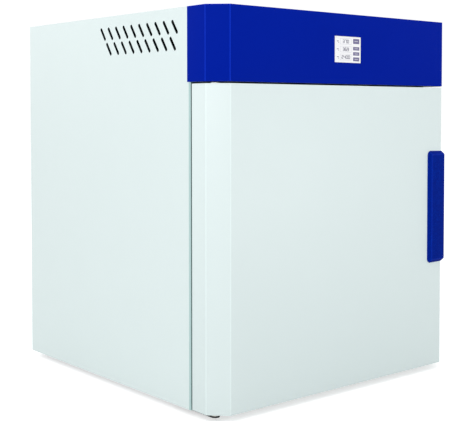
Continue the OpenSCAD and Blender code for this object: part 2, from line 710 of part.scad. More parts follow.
module terminal_block() color("#6f7f74") translate([-60, 90, tray_z]) {
    block([-10, 8, 0], [130, 36, 2]);
    for (i = [0 : 9]) difference() {
        block([i * 12, 0, 2], [i * 12 + 10.5, 44, 34]);
        for (y = [-1, 34]) block([i * 12 - 1, y, 24], [i * 12 + 12, y + 11, 35]);
    }
}

// Appliance inlet: flanged housing with a keyed recess, and its three flat pins
module power_inlet() color("#26282a") translate([inlet_x, 0, fittings_z]) difference() {
    union() {
        facing(y_rear, 2.5) rounded(50, 28, 5);
        facing(y_rear - 20, 20) square([28, 20], center = true);
    }
    facing(y_rear - 16, 20) polygon([[-12.5, -8.5], [12.5, -8.5], [12.5, 4], [8, 8.5], [-8, 8.5], [-12.5, 4]]);
    for (p = inlet_pin_places) bar_y(p.x, p.y, 1.2, y_rear - 21, y_rear - 10);
    for (s = [-1, 1]) bar_y(s * 20, 0, 1.8, y_rear - 1, y_rear + 4);
}
module inlet_pins() color("#c9b46a") translate([inlet_x, 0, fittings_z]) for (p = inlet_pin_places) {
    bar_y(p.x, p.y, 1.15, y_rear - 26, y_rear - 15);
    facing(y_rear - 16, 13) translate(p) square([2, 4], center = true);
}

module switch_housing() color("#26282a") translate([switch_x, 0, fittings_z]) difference() {
    union() {
        facing(y_rear, 1.5) rounded(32, 25, 2);
        facing(y_rear - 20, 20) square([26, 20], center = true);
    }
    facing(y_rear - 14, 20) square([22, 13.4], center = true);
    bar_x(rocker_y, 0, 1.5 + fit, -13, 13);
}
// Rocker on a cross pin, one end pressed in
module power_rocker() color("#1c1d1f") translate([switch_x, rocker_y, fittings_z]) rotate([-rocker_tilt, 0, 0]) {
    sideways(-10.6, 21.2) polygon([[-6, -5], [0.5, -5.7], [3.8, -5.9], [2.6, 0], [3.8, 5.9], [0.5, 5.7], [-6, 5]]);
    bar_x(0, 0, 1.5, -12.5, 12.5);
}

left_side_panel();
right_side_panel();
top_panel();
rear_panel();
base_pan();
bulkhead();
face_frame();
fascia();
electronics_tray();
chamber_liner();
chamber_back();
insulation_left();
insulation_right();
insulation_top();
insulation_bottom();
insulation_rear();
foot(0);  // foot_front_left
foot(1);  // foot_rear_left
foot(2);  // foot_front_right
foot(3);  // foot_rear_right
rear_bumpers();
casing_screws();
duct_cover();
heater_ring();
fan_motor();
motor_bracket();
temperature_probe();
uprights_left();
uprights_right();
runners_lower();
runners_upper();
glass_seal();
glass_brackets();
display_module();
display_glass();
control_board();
power_supply();
solid_state_relay();
terminal_block();
power_inlet();
inlet_pins();
switch_housing();
hinge_plate_upper();
hinge_plate_lower();
door_skin();
door_inner_panel();
door_insulation();
door_gasket();
handle();
handle_plate();
handle_screws();
hinge_bush_upper();
hinge_bush_lower();
glass_pane();
glass_straps();
glass_knob();
fan_impeller();
shelf_lower();
shelf_upper();
power_rocker();
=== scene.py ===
"""Finishes and fine pieces for a bench-top laboratory incubator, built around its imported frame."""

import json
import math

import bmesh
import bpy
from bpy.props import FloatProperty, FloatVectorProperty, IntProperty, PointerProperty, StringProperty
from mathutils import Matrix, Vector


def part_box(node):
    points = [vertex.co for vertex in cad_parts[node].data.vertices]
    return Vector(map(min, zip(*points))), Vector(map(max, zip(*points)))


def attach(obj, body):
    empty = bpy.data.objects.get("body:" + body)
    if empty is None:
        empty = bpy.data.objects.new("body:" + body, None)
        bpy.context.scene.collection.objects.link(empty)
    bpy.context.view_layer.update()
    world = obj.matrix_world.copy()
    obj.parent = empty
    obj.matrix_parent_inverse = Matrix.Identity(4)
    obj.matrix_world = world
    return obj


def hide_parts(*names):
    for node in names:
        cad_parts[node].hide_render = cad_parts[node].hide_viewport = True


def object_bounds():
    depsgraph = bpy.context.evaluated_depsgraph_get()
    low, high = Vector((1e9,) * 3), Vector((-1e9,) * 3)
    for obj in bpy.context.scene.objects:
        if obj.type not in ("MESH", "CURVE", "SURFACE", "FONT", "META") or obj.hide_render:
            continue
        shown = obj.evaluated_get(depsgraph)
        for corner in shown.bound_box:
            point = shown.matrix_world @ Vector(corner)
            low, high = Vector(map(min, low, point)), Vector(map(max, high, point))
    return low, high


bl_info = {
    "name": "Laboratory Incubator",
    "version": (1, 0, 0),
    "blender": (4, 5, 0),
    "location": "3D Viewport > Sidebar > Incubator",
    "description": "Builds the finishes and the fine pieces of a bench-top incubator",
    "category": "Object",
}

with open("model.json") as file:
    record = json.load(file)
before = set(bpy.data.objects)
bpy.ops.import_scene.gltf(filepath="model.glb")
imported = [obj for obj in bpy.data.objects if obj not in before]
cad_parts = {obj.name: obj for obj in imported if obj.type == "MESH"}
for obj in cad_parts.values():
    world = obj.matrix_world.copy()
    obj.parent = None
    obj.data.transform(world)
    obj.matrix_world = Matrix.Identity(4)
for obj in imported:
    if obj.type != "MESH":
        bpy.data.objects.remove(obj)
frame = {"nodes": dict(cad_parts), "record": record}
CAD_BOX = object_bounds()
NODES = frame["nodes"]
MM = 0.001
TOUCH = 0.3 * MM  # how far a face may lie from its node's box and still count as outside
SHEET_EDGE = 2.2 * MM  # faces narrower than this are cut edges of sheet metal
MAIN_FINISH, FOLD_FINISH, INSIDE_FINISH = range(3)  # order of a finished copy's materials


# ---- settings -------------------------------------------------------------------------------


class CabinetSettings(bpy.types.PropertyGroup):
    """Colours and small sizes of the painted sheet metal."""

    white_coat: FloatVectorProperty(
        name="White coat", description="Powder coat of the cabinet and the door", subtype="COLOR",
        size=3, min=0, max=1, default=(0.668, 0.756, 0.753),
    )
    blue_coat: FloatVectorProperty(
        name="Blue coat", description="Powder coat of the control fascia", subtype="COLOR",
        size=3, min=0, max=1, default=(0.0005, 0.0125, 0.302),
    )
    fold_radius: FloatProperty(
        name="Fold radius", description="Outside radius of the folds in the sheet steel",
        default=0.0012, min=0.0005, max=0.004, unit="LENGTH",
    )
    slot_ease: FloatProperty(
        name="Slot edges", description="Width of the broken edges of the punched slots",
        default=0.00035, min=0.0002, max=0.0008, unit="LENGTH",
    )
    # The strip along the door seam carries painted shade; this sets how far it reaches.
    trim_reach: FloatProperty(
        name="Edge trim", description="How far the rubber edge trim reaches over the face frame",
        default=0.010, min=0.004, max=0.012, unit="LENGTH",
    )
    peel_size: FloatProperty(
        name="Orange peel", description="Size of the ripples in the powder coat",
        default=0.0016, min=0.0005, max=0.005, unit="LENGTH",
    )


class HandleSettings(bpy.types.PropertyGroup):
    """The moulded grip."""

    colour: FloatVectorProperty(
        name="Colour", description="Colour of the moulding", subtype="COLOR",
        size=3, min=0, max=1, default=(0.0003, 0.0105, 0.20),
    )
    edge_radius: FloatProperty(
        name="Edge radius", description="Radius on the moulding's outer edges",
        default=0.0016, min=0.0005, max=0.003, unit="LENGTH",
    )


class ScrewSettings(bpy.types.PropertyGroup):
    """Pan-head screws with a cross recess."""

    head_radius: FloatProperty(
        name="Head radius", description="Radius of a casing screw's head",
        default=0.0038, min=0.002, max=0.006, unit="LENGTH",
    )
    head_height: FloatProperty(
        name="Head height", description="Height of a casing screw's head",
        default=0.0015, min=0.001, max=0.003, unit="LENGTH",
    )
    sides: IntProperty(
        name="Sides", description="Facets round a screw's head", default=20, min=8, max=32,
    )


class DisplaySettings(bpy.types.PropertyGroup):
    """What the touch display shows."""

    set_value: StringProperty(name="Top row", description="Digits in the top row", default="37.0")
    measured: StringProperty(name="Middle row", description="Digits in the middle row", default="36.9")
    timer: StringProperty(name="Bottom row", description="Digits in the bottom row", default="2400")
    ink_height: FloatProperty(
        name="Ink height", description="How far the figures stand on the display face",
        default=0.00012, min=0.00005, max=0.0003, unit="LENGTH",
    )


class StageSettings(bpy.types.PropertyGroup):
    """Camera and lights."""

    eye: FloatVectorProperty(
        name="Eye", description="Where the camera stands", subtype="TRANSLATION",
        size=3, default=(-1.3418, -1.5989, 0.5342),
    )
    heading: FloatProperty(
        name="Heading", description="Direction of view, turned from straight at the front",
        default=math.radians(39.98), subtype="ANGLE",
    )
    dip: FloatProperty(
        name="Dip", description="Angle of view below the horizon",
        default=math.radians(1.94), subtype="ANGLE",
    )
    lens: FloatProperty(
        name="Lens", description="Focal length in millimetres", default=75.5, min=35, max=120,
    )
    rise: FloatProperty(
        name="Shift", description="Vertical shift of the lens", default=-0.143, min=-0.3, max=0.3,
    )
    key_power: FloatProperty(
        name="Key light", description="Power of the large front light", default=47.0, min=0, max=500,
    )
    sky: FloatProperty(
        name="Surroundings", description="How much light the pale surroundings give",
        default=0.84, min=0, max=3,
    )


SETTINGS = (
    ("incubator_cabinet", CabinetSettings),
    ("incubator_handle", HandleSettings),
    ("incubator_screws", ScrewSettings),
    ("incubator_display", DisplaySettings),
    ("incubator_stage", StageSettings),
)


# ---- shader node groups ---------------------------------------------------------------------


def new_group(name, inputs, outputs):
    """An empty shader node group with its sockets, and its two end nodes."""
    tree = bpy.data.node_groups.new(name, "ShaderNodeTree")
    for label, kind, value in inputs:
        socket = tree.interface.new_socket(name=label, in_out="INPUT", socket_type="NodeSocket" + kind)
        socket.default_value = value
    for label, kind in outputs:
        tree.interface.new_socket(name=label, in_out="OUTPUT", socket_type="NodeSocket" + kind)
    return tree, tree.nodes.new("NodeGroupInput"), tree.nodes.new("NodeGroupOutput")


def add(tree, kind, inputs=None, **settings):
    """One node with its settings, its input values and, where an input is a socket, its link."""
    node = tree.nodes.new(kind)
    for key, value in settings.items():
        setattr(node, key, value)
    for key, value in (inputs or {}).items():
        if isinstance(value, bpy.types.NodeSocket):
            tree.links.new(value, node.inputs[key])
        else:
            node.inputs[key].default_value = value
    return node


def noise(tree, vector, scale, detail=2.0, roughness=0.5):
    """The value of a noise texture."""
    return add(tree, "ShaderNodeTexNoise", {
        "Vector": vector, "Scale": scale, "Detail": detail, "Roughness": roughness}).outputs[0]


def spread(tree, value, low, high, start, end):
    """Maps a value from low..high to start..end, clamped."""
    return add(tree, "ShaderNodeMapRange", {
        "Value": value, "From Min": low, "From Max": high, "To Min": start, "To Max": end}).outputs[0]


def blend_colour(tree, mask, first, second):
    """First colour where the mask is 0, second where it is 1."""
    # A mix node keeps its colour sockets behind those for numbers and vectors.
    return add(tree, "ShaderNodeMix", {0: mask, 6: first, 7: second}, data_type="RGBA").outputs[2]


def plus(tree, first, second):
    """The sum of two values."""
    return add(tree, "ShaderNodeMath", {0: first, 1: second}).outputs[0]


def times(tree, first, second):
    """The product of two values."""
    return add(tree, "ShaderNodeMath", {0: first, 1: second}, operation="MULTIPLY").outputs[0]


def object_place(tree):
    """The place on the piece, in metres of its own frame."""
    return tree.nodes.new("ShaderNodeTexCoord").outputs["Object"]


def close_group(tree, end, **results):
    """Leads a group's results to its end node; returns the finished group."""
    for name, socket in results.items():
        tree.links.new(socket, end.inputs[name])
    return tree


def coat_grain():
    """Fine ripples with a little painted shade on them, faint cloudiness and tiny dust specks of baked powder
    coat.
    """
    tree, start, end = new_group(
        "Coat grain",
        [("Colour", "Color", (0.8, 0.8, 0.8, 1)), ("Shade", "Color", (0.7, 0.7, 0.7, 1)),
         ("Ripples", "Float", 600.0), ("Roughness", "Float", 0.4)],
        [("Colour", "Color"), ("Roughness", "Float"), ("Height", "Float")],
    )
    place = object_place(tree)
    cloud = noise(tree, place, 5.0, 4.0, 0.6)
    ripple = noise(tree, place, start.outputs["Ripples"], 2.0)
    specks = noise(tree, place, 900.0, 1.0)
    colour = start.outputs["Colour"]
    # Besides cloudiness and specks, the ripples darken the colour a little: painted shade of the orange-peel
    # relief.
    patterns = ((cloud, 0.3, 0.8, 0.5), (ripple, 0.36, 0.62, 0.55), (specks, 0.70, 0.76, 0.5))
    for pattern, low, high, most in patterns:
        mask = spread(tree, pattern, low, high, 0.0, most)
        colour = blend_colour(tree, mask, colour, start.outputs["Shade"])
    rough = plus(tree, start.outputs["Roughness"], spread(tree, cloud, 0.2, 0.8, -0.05, 0.06))
    return close_group(tree, end, Colour=colour, Roughness=rough, Height=ripple)


def brush_lines():
    """Long fine scratches of brushed stainless steel, running level."""
    tree, start, end = new_group(
        "Brush lines",
        [("Colour", "Color", (0.6, 0.6, 0.6, 1)), ("Dark", "Color", (0.4, 0.4, 0.4, 1)),
         ("Stretch", "Vector", (20, 20, 1800)), ("Roughness", "Float", 0.3)],
        [("Colour", "Color"), ("Roughness", "Float"), ("Height", "Float")],
    )
    place = object_place(tree)
    stretched = add(tree, "ShaderNodeVectorMath", {0: place, 1: start.outputs["Stretch"]},
                    operation="MULTIPLY")
    lines = noise(tree, stretched.outputs[0], 1.0, 3.0, 0.6)
    haze = noise(tree, place, 9.0, 3.0)
    mask = spread(tree, lines, 0.35, 0.7, 0.0, 0.6)
    colour = blend_colour(tree, mask, start.outputs["Colour"], start.outputs["Dark"])
    rough = plus(tree, start.outputs["Roughness"], spread(tree, haze, 0.3, 0.75, -0.03, 0.06))
    return close_group(tree, end, Colour=colour, Roughness=rough, Height=lines)


def mould_grain():
    """Spark-eroded texture and colour specks of moulded plastic or rubber."""
    tree, start, end = new_group(
        "Mould grain",
        [("Colour", "Color", (0.1, 0.1, 0.1, 1)), ("Speck", "Color", (0.2, 0.2, 0.2, 1)),
         ("Scale", "Float", 700.0), ("Amount", "Float", 0.5), ("Roughness", "Float", 0.5)],
        [("Colour", "Color"), ("Roughness", "Float"), ("Height", "Float")],
    )
    place = object_place(tree)
    grain = noise(tree, place, start.outputs["Scale"], 3.0, 0.65)
    patches = noise(tree, place, 28.0, 3.0, 0.7)
    specks = spread(tree, grain, 0.5, 0.66, 0.0, start.outputs["Amount"])
    wear = times(tree, specks, spread(tree, patches, 0.3, 0.7, 0.4, 1.0))
    colour = blend_colour(tree, wear, start.outputs["Colour"], start.outputs["Speck"])
    rough = plus(tree, start.outputs["Roughness"], spread(tree, patches, 0.3, 0.7, -0.05, 0.08))
    return close_group(tree, end, Colour=colour, Roughness=rough, Height=grain)


def fibre_mat():
    """Tangled fibres of glass wool."""
    tree, start, end = new_group(
        "Fibre mat",
        [("Colour", "Color", (0.8, 0.7, 0.4, 1)), ("Dark", "Color", (0.5, 0.4, 0.2, 1))],
        [("Colour", "Color"), ("Height", "Float")],
    )
    place = object_place(tree)
    warp = add(tree, "ShaderNodeTexNoise", {"Vector": place, "Scale": 60.0, "Detail": 3.0})
    sway = {0: place, 1: warp.outputs["Color"], 2: (0.02, 0.02, 0.02)}  # the last says how far fibres sway
    bent = add(tree, "ShaderNodeVectorMath", sway, operation="MULTIPLY_ADD")
    wave = add(tree, "ShaderNodeTexWave", {
        "Vector": bent.outputs[0], "Scale": 90.0, "Distortion": 9.0, "Detail": 3.0, "Detail Scale": 3.0})
    colour = blend_colour(tree, wave.outputs["Fac"], start.outputs["Dark"], start.outputs["Colour"])
    return close_group(tree, end, Colour=colour, Height=wave.outputs["Fac"])


GROUP_MAKERS = {"coat": coat_grain, "brush": brush_lines, "mould": mould_grain, "fibre": fibre_mat}
groups = {}


def rgba(colour):
    return (*colour[:3], 1.0)


def scaled(colour, factor):
    return tuple(min(1.0, c * factor) for c in colour)


def finish(name, kind, bump, values, **constants):
    """A material whose surface comes from one of the groups; constants go on the shader's own sockets.

    The bump is its strength and its distance.
    """
    material = bpy.data.materials.new(name)
    material.use_nodes = True
    tree = material.node_tree
    tree.nodes.clear()
    if kind not in groups:
        groups[kind] = GROUP_MAKERS[kind]()
    surface = add(tree, "ShaderNodeGroup", node_tree=groups[kind])
    for key, value in values.items():
        surface.inputs[key].default_value = value
    shader = tree.nodes.new("ShaderNodeBsdfPrincipled")
    for key, value in constants.items():
        shader.inputs[key.replace("_", " ")].default_value = value
    tree.links.new(surface.outputs["Colour"], shader.inputs["Base Color"])
    if "Roughness" in surface.outputs:
        tree.links.new(surface.outputs["Roughness"], shader.inputs["Roughness"])
    relief = add(tree, "ShaderNodeBump", {
        "Height": surface.outputs["Height"], "Strength": bump[0], "Distance": bump[1]})
    tree.links.new(relief.outputs[0], shader.inputs["Normal"])
    output = tree.nodes.new("ShaderNodeOutputMaterial")
    tree.links.new(shader.outputs[0], output.inputs[0])
    material.diffuse_color = rgba(values["Colour"])
    return material


finishes = {}
COAT_RELIEF, BRUSH_RELIEF, MOULD_RELIEF = 0.12 * MM, 0.03 * MM, 0.1 * MM


def powder_coat(name, colour, shade, roughness, ripples, bump=0.25, **constants):
    return finish(
        name, "coat", (bump, COAT_RELIEF),
        {"Colour": rgba(colour), "Shade": rgba(shade), "Ripples": ripples, "Roughness": roughness},
        **constants,
    )


def brushed(name, colour, dark, stretch, roughness):
    return finish(
        name, "brush", (0.12, BRUSH_RELIEF),
        {"Colour": rgba(colour), "Dark": rgba(dark), "Stretch": stretch, "Roughness": roughness},
        Metallic=1.0,
    )


def moulded(name, colour, speck, scale, amount, roughness, bump=0.4, **constants):
    return finish(
        name, "mould", (bump, MOULD_RELIEF),
        {"Colour": rgba(colour), "Speck": rgba(speck), "Scale": scale, "Amount": amount,
         "Roughness": roughness},
        **constants,
    )


def make_finishes(cabinet, handle):
    """Every finish that the incubator's pieces use."""
    white, blue = tuple(cabinet.white_coat), tuple(cabinet.blue_coat)
    ripples = 1.0 / cabinet.peel_size
    grip = tuple(handle.colour)
    finishes.update(
        white_coat=powder_coat("White coat", white, scaled(white, 0.965), 0.46, ripples,
                               Coat_Weight=0.06, Coat_Roughness=0.35),
        # Painted highlight: the rounded folds of the white coat are lighter than its flat faces.
        white_fold=powder_coat("White coat on folds", scaled(white, 1.09), scaled(white, 1.04), 0.4,
                               ripples),
        # Partly painted shade: the priming coat on inside faces and slot edges is near-black teal, standing
        # in for the shade inside the casing.
        primer=powder_coat("Dark primer", (0.009, 0.026, 0.034), (0.006, 0.018, 0.024), 0.7, 300.0,
                           Specular_IOR_Level=0.2),
        blue_coat=powder_coat("Blue coat", blue, scaled(blue, 0.9), 0.5, ripples, 0.2,
                              Specular_IOR_Level=0.01),
        # Painted highlight: the fascia's rounded folds are a brighter blue than its flat faces.
        blue_fold=powder_coat("Blue coat on folds", (0.001, 0.045, 0.70), (0.001, 0.03, 0.55), 0.45, ripples,
                              0.2, Specular_IOR_Level=0.1),
        zinc=powder_coat("Zinc plate", (0.52, 0.55, 0.57), (0.40, 0.44, 0.48), 0.34, 60.0, 0.05,
                         Metallic=0.7),
        black_coat=powder_coat("Black coat", (0.012, 0.012, 0.013), (0.02, 0.02, 0.021), 0.45, 500.0),
        stainless=brushed("Brushed stainless", (0.62, 0.63, 0.64), (0.47, 0.48, 0.49), (14, 14, 1500), 0.27),
        polished=brushed("Polished wire", (0.72, 0.73, 0.74), (0.60, 0.61, 0.62), (60, 60, 60), 0.18),
        heater=brushed("Heater sheath", (0.20, 0.17, 0.15), (0.11, 0.09, 0.08), (120, 120, 120), 0.5),
        aluminium=brushed("Cast aluminium", (0.60, 0.61, 0.62), (0.48, 0.49, 0.5), (400, 400, 400), 0.42),
        brass=brushed("Plated brass", (0.70, 0.52, 0.22), (0.5, 0.36, 0.14), (300, 300, 300), 0.22),
        grip=moulded("Moulded blue grip", grip, (0.0006, 0.036, 0.42), 650.0, 0.75, 0.5, 0.8,
                     Specular_IOR_Level=0.015),
        # Painted highlight: the grip's rounded edges are a lighter blue than its faces.
        grip_edge=moulded("Worn edge of the grip", scaled(grip, 1.3), (0.001, 0.05, 0.5), 650.0, 0.75, 0.45,
                          0.6, Specular_IOR_Level=0.03),
        black_plastic=moulded("Black moulded plastic", (0.018, 0.019, 0.021), (0.05, 0.05, 0.055), 1400.0,
                              0.5, 0.48),
        grey_plastic=moulded("Grey moulded plastic", (0.20, 0.22, 0.21), (0.30, 0.32, 0.31), 1100.0,
                             0.4, 0.5),
        nylon=moulded("Natural nylon", (0.74, 0.72, 0.66), (0.62, 0.60, 0.53), 500.0, 0.3, 0.4, 0.2,
                      Subsurface_Weight=0.1),
        black_rubber=moulded("Black rubber", (0.018, 0.018, 0.019), (0.045, 0.045, 0.047), 1600.0, 0.6, 0.72),
        gasket=moulded("Grey door gasket", (0.085, 0.105, 0.105), (0.13, 0.15, 0.15), 900.0, 0.5, 0.6),
        # Painted shade on the strip along the door seam: a shaded pale rim and the dark shadow in the gap.
        trim_lip=moulded("Pale lip of the edge trim", (0.40, 0.56, 0.55), (0.36, 0.5, 0.49), 900.0, 0.5, 0.6),
        trim=moulded("Grey-green edge trim", (0.07, 0.115, 0.118), (0.10, 0.15, 0.15), 900.0, 0.5, 0.6),
        silicone=moulded("White silicone seal", (0.72, 0.71, 0.67), (0.6, 0.59, 0.55), 500.0, 0.3, 0.5, 0.15,
                         Subsurface_Weight=0.12),
        board=moulded("Green solder mask", (0.012, 0.11, 0.055), (0.03, 0.2, 0.1), 350.0, 0.7, 0.3, 0.15,
                      Coat_Weight=0.4),
        wool=finish("Glass wool", "fibre", (0.9, 2 * MM),
                    {"Colour": (0.80, 0.69, 0.36, 1), "Dark": (0.55, 0.43, 0.18, 1)},
                    Roughness=0.95, Sheen_Weight=0.3),
        glass=moulded("Tempered glass", (0.93, 0.985, 0.975), (0.9, 0.97, 0.96), 40.0, 0.2, 0.03, 0.01,
                      Transmission_Weight=1.0, IOR=1.5),
        glass_edge=moulded("Ground glass edge", (0.35, 0.62, 0.55), (0.25, 0.5, 0.44), 200.0, 0.4, 0.35, 0.05,
                           Transmission_Weight=0.5, IOR=1.5),
        screen=moulded("Display face", (0.86, 0.86, 0.88), (0.83, 0.83, 0.86), 300.0, 0.3, 0.16, 0.01),
        screen_key=moulded("Display key", (0.15, 0.135, 0.27), (0.19, 0.17, 0.32), 300.0, 0.3, 0.2, 0.01),
        screen_ink=moulded("Display ink", (0.04, 0.035, 0.11), (0.055, 0.05, 0.14), 300.0, 0.3, 0.2, 0.01),
        screen_field=moulded("Display field", (0.60, 0.60, 0.66), (0.56, 0.56, 0.62), 300.0, 0.3, 0.2, 0.01),
    )


# ---- mesh helpers ---------------------------------------------------------------------------


def link(piece):
    """Puts a new object in the scene."""
    bpy.context.scene.collection.objects.link(piece)
    return piece


def mesh_piece(name, bm, material, body, slot, *replaced, smooth=True):
    """Turns a bmesh into a finished piece that rides on a body."""
    mesh = bpy.data.meshes.new(name)
    bm.to_mesh(mesh)
    bm.free()
    mesh.materials.append(finishes[material])
    piece = link(bpy.data.objects.new(name, mesh))
    if smooth:
        smooth_by_angle(piece)
    return settle(piece, body, slot, *replaced)


def smooth_by_angle(piece, degrees=35):
    """Smooth shading with the sharp edges kept."""
    mesh = piece.data
    bm = bmesh.new()
    bm.from_mesh(mesh)
    for face in bm.faces:
        face.smooth = True
    limit = math.radians(degrees)
    for edge in bm.edges:
        edge.smooth = len(edge.link_faces) == 2 and edge.calc_face_angle(math.pi) < limit
    bm.to_mesh(mesh)
    bm.free()


def evaluated(piece):
    """Replaces a piece's mesh by what its modifiers make of it."""
    graph = bpy.context.evaluated_depsgraph_get()
    result = piece.evaluated_get(graph)
    mesh = bpy.data.meshes.new_from_object(result, preserve_all_data_layers=True, depsgraph=graph)
    piece.modifiers.clear()
    old = piece.data
    piece.data = mesh
    bpy.data.meshes.remove(old)
    return piece


def face_width(face):
    """About how wide a face is across its narrow way."""
    return 2 * face.calc_area() / max(face.calc_perimeter(), 1e-9)


def ease_slots(bm, corners, ease, narrow):
    """Breaks the outer edges of the slots punched in a sheet; the broken edges show the inside finish, which
    with the near-black priming coat paints shade in the slots.
    """
    outer = set()
    for face in bm.faces:
        axis = max(range(3), key=lambda i: abs(face.normal[i]))
        if any(abs(face.calc_center_median()[axis] - corner[axis]) < TOUCH for corner in corners):
            outer.add(face)
    edges = [
        edge for edge in bm.edges
        if len(outer.intersection(edge.link_faces)) == 1 and edge.is_convex
        and min(face_width(face) for face in set(edge.link_faces) - outer) < narrow
    ]
    eased = bmesh.ops.bevel(bm, geom=edges, offset=ease, segments=1, affect="EDGES", clamp_overlap=False)
    for face in eased["faces"]:
        face.material_index = INSIDE_FINISH


def soft_copy(
    node, radius, material, fold=None, inside=None, narrow=SHEET_EDGE, segments=3, sharp=25, ease=0.0,
):
    """A copy of a CAD node with its outside folds rounded; narrow faces such as sheet rims stay crisp."""
    weld = 0.002 * MM
    flat = math.radians(0.6)
    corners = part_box(node)
    mesh = NODES[node].data.copy()
    mesh.materials.clear()
    for name in (material, fold or material, inside or material):
        mesh.materials.append(finishes[name])
    bm = bmesh.new()
    bm.from_mesh(mesh)
    bmesh.ops.remove_doubles(bm, verts=bm.verts, dist=weld)
    bmesh.ops.dissolve_limit(bm, angle_limit=flat, verts=bm.verts, edges=bm.edges)
    if ease:
        ease_slots(bm, corners, ease, narrow)
    weight = bm.edges.layers.float.new("bevel_weight_edge")
    for edge in bm.edges:
        if len(edge.link_faces) != 2 or not edge.is_convex or edge.calc_face_angle(0) < math.radians(sharp):
            continue
        if min(face_width(face) for face in edge.link_faces) > narrow:
            edge[weight] = 1.0
    bm.to_mesh(mesh)
    bm.free()
    # Inward faces and sheet rims take the inside finish; where that is the near-black priming coat, it paints
    # the shade inside the casing.
    for polygon in mesh.polygons:
        if polygon.material_index == INSIDE_FINISH:
            continue
        hidden = not on_the_box(polygon, corners) and (faces_inwards(polygon) or is_rim(polygon, narrow))
        polygon.material_index = INSIDE_FINISH if hidden else MAIN_FINISH
    piece = link(bpy.data.objects.new(node + "_finished", mesh))
    rounding = piece.modifiers.new("Folds", "BEVEL")
    rounding.limit_method = "WEIGHT"
    rounding.width = radius
    rounding.segments = segments
    rounding.use_clamp_overlap = False
    rounding.material = FOLD_FINISH if fold else -1
    evaluated(piece)
    smooth_by_angle(piece)
    return settle(piece, body_of_node(node), slot_of_node(node), node)


def faces_inwards(polygon):
    """Whether a face looks down or towards the upright line through the middle of the cabinet."""
    level = polygon.normal.xy.dot(polygon.center.xy.normalized())
    return level < -0.5 or polygon.normal.z < -0.9


def is_rim(polygon, narrow):
    """Whether a face is the cut edge of a sheet, such as the wall of a slot."""
    return 2 * polygon.area / max(sum(edge_lengths(polygon)), 1e-9) < narrow


def edge_lengths(polygon):
    mesh = polygon.id_data
    places = [mesh.vertices[i].co for i in polygon.vertices]
    return [(a - b).length for a, b in zip(places, places[1:] + places[:1])]


def on_the_box(polygon, corners):
    """Whether a face lies on one of the outer faces of its node's box."""
    return any(abs(polygon.center[i] - corner[i]) < TOUCH for i in range(3) for corner in corners)


def settle(piece, body, slot, *replaced):
    """Puts a finished piece on its body and hides the CAD nodes that it stands for; the slot is not used."""
    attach(piece, body)
    if replaced:
        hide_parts(*replaced)
    return piece


def slot_of_node(node):
    return next(s["material_slot"] for s in frame["record"]["subparts"] if s["node"] == node)


def ring_sweep(profile, half, bottom, top, bottom_reach=1.0):
    """A mitred ring in an upright rectangle; the profile's points are (distance inwards, depth).

    The bottom leg reaches no further inwards than bottom_reach.
    """
    bm = bmesh.new()
    rings = []
    for sx, sz in ((-1, -1), (1, -1), (1, 1), (-1, 1)):
        edge = top if sz > 0 else bottom
        most = 1.0 if sz > 0 else bottom_reach
        rings.append([
            bm.verts.new((sx * (half - inwards), y, edge - sz * min(inwards, most)))
            for inwards, y in profile
        ])
    count = len(profile)
    for i, ring in enumerate(rings):
        after = rings[(i + 1) % len(rings)]
        for k in range(count):
            bm.faces.new((ring[k], ring[(k + 1) % count], after[(k + 1) % count], after[k]))
    bmesh.ops.recalc_face_normals(bm, faces=bm.faces)
    return bm


def plate(bm, centre, size, radius=0.0, corner_steps=3):
    """A thin plate facing front with rounded corners, added to a bmesh."""
    width, depth, height = size
    radius = min(radius, width / 2, height / 2)
    outline = []
    for sx, sz, start in ((1, 1, 0), (-1, 1, 90), (-1, -1, 180), (1, -1, 270)):
        for step in range(corner_steps + 1 if radius > 0 else 1):
            angle = math.radians(start + 90 * step / corner_steps)
            outline.append((sx * (width / 2 - radius) + radius * math.cos(angle),
                            sz * (height / 2 - radius) + radius * math.sin(angle)))
    front, back = [
        [bm.verts.new((centre[0] + x, centre[1] + y, centre[2] + z)) for x, z in outline]
        for y in (-depth / 2, depth / 2)
    ]
    faces = [bm.faces.new(front), bm.faces.new(back[::-1])]
    for i in range(len(outline)):
        k = (i + 1) % len(outline)
        faces.append(bm.faces.new((front[k], front[i], back[i], back[k])))
    bmesh.ops.recalc_face_normals(bm, faces=faces)


def ring(bm, outer, inner, depth, sides=24):
    """A flat ring facing front, added to a bmesh."""
    section = [(outer, -depth / 2), (inner, -depth / 2), (inner, depth / 2), (outer, depth / 2)]
    corners = []
    for step in range(sides):
        angle = math.tau * step / sides
        corners.append([bm.verts.new((r * math.cos(angle), y, r * math.sin(angle))) for r, y in section])
    faces = []
    for here, after in zip(corners, corners[1:] + corners[:1]):
        for i in range(4):
            k = (i + 1) % 4
            faces.append(bm.faces.new((here[i], here[k], after[k], after[i])))
    bmesh.ops.recalc_face_normals(bm, faces=faces)


# ---- screws -----------------------------------------------------------------------------------


